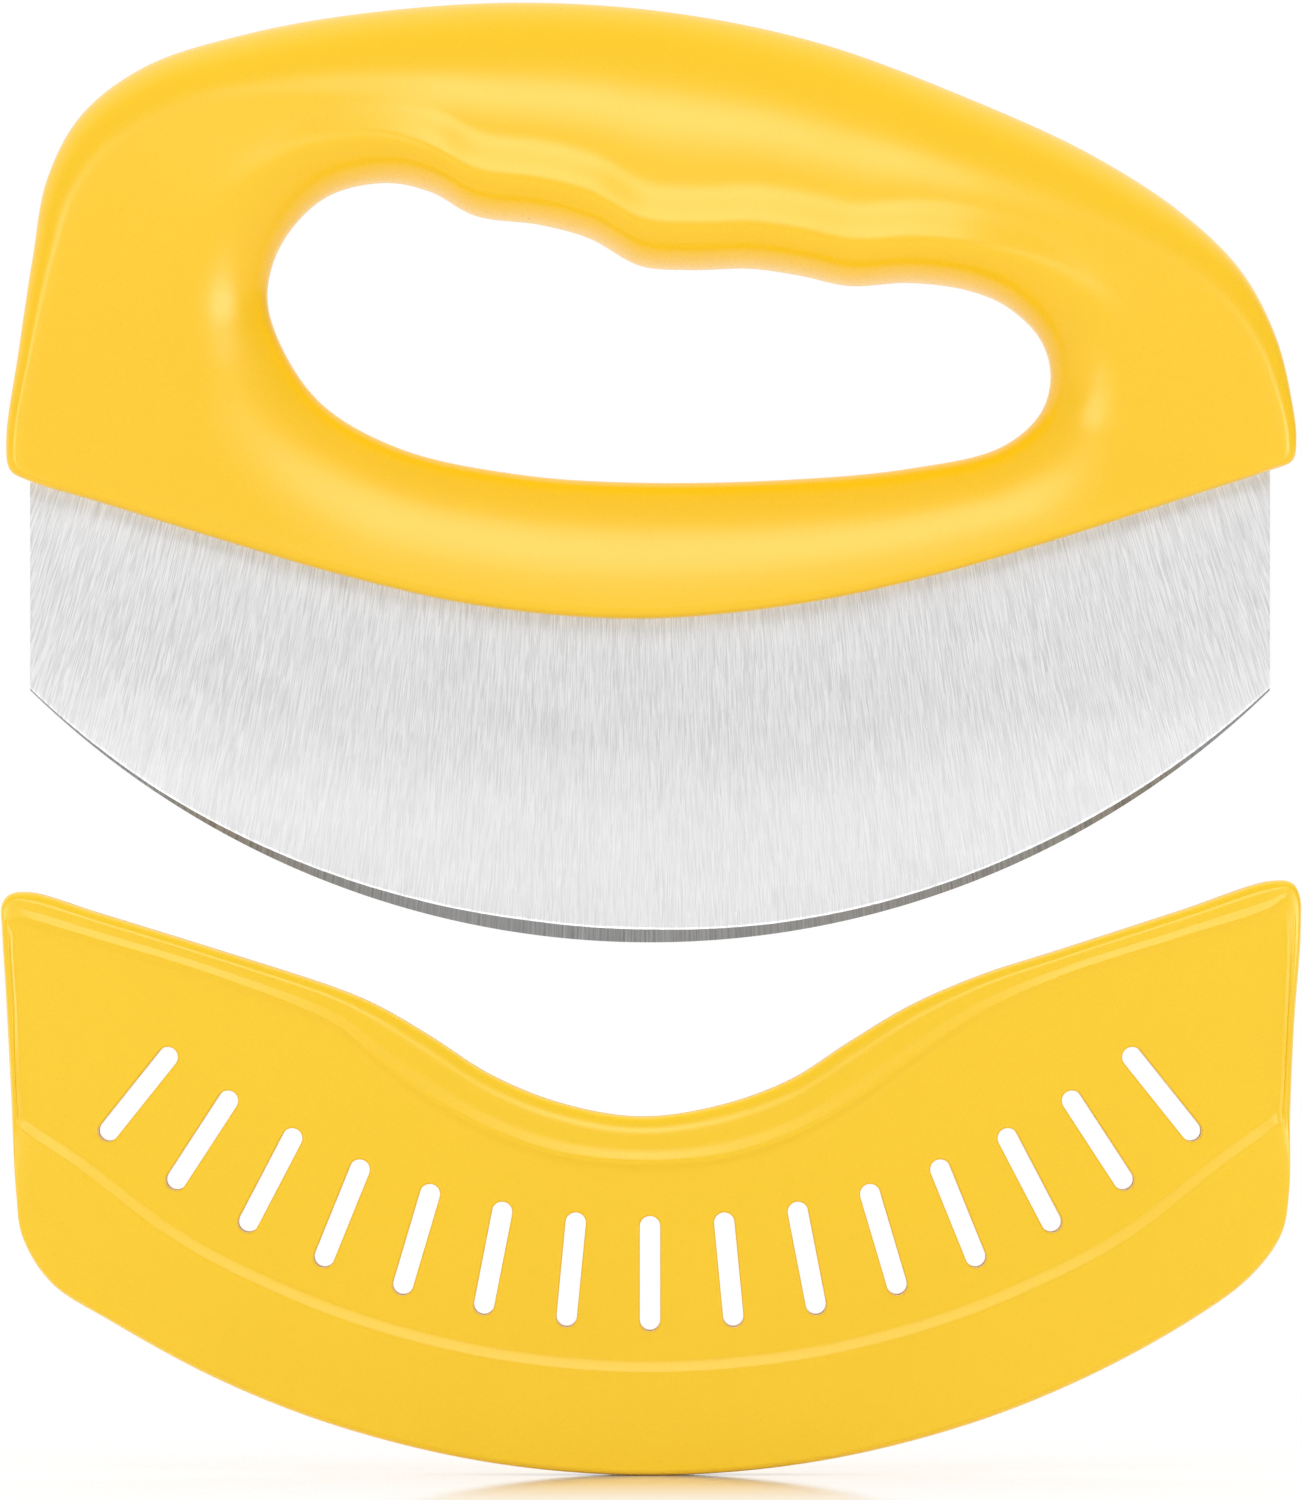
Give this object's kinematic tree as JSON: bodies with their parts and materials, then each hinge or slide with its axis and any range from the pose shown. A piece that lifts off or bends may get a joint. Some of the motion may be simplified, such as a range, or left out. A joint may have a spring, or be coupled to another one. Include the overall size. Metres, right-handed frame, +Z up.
{
  "type": "rocker pizza cutter with blade cover",
  "caption": "Rocker pizza cutter: a curved steel blade in a D-shaped plastic handle with a finger opening, and a slip-on cover over its edge.",
  "frame": {"origin": "middle of the grip bar above the finger opening, in the plane of the blade", "axes": "+X along the blade towards the narrower end of the grip, +Y away from the viewer and square to the blade, +Z up from the cutting edge to the grip; the cover is drawn taken off, below the blade"},
  "size_m": [0.1917, 0.0256, 0.2171],
  "materials": {
    "blade_steel": "brushed across the blade, with a ground edge",
    "handle_plastic": "satin moulded",
    "cover_plastic": "satin moulded"
  },
  "bodies": {
    "cutter": {"blade": "blade_steel", "handle_front_shell": "handle_plastic", "handle_rear_shell": "handle_plastic"},
    "cover": {"cover_front_half": "cover_plastic", "cover_rear_half": "cover_plastic"}
  },
  "joints": [
    {"name": "cover_slide", "type": "slide", "parent": "cutter", "child": "cover", "axis": [0, 0, 1], "range_m": [0, 0.059]}
  ]
}
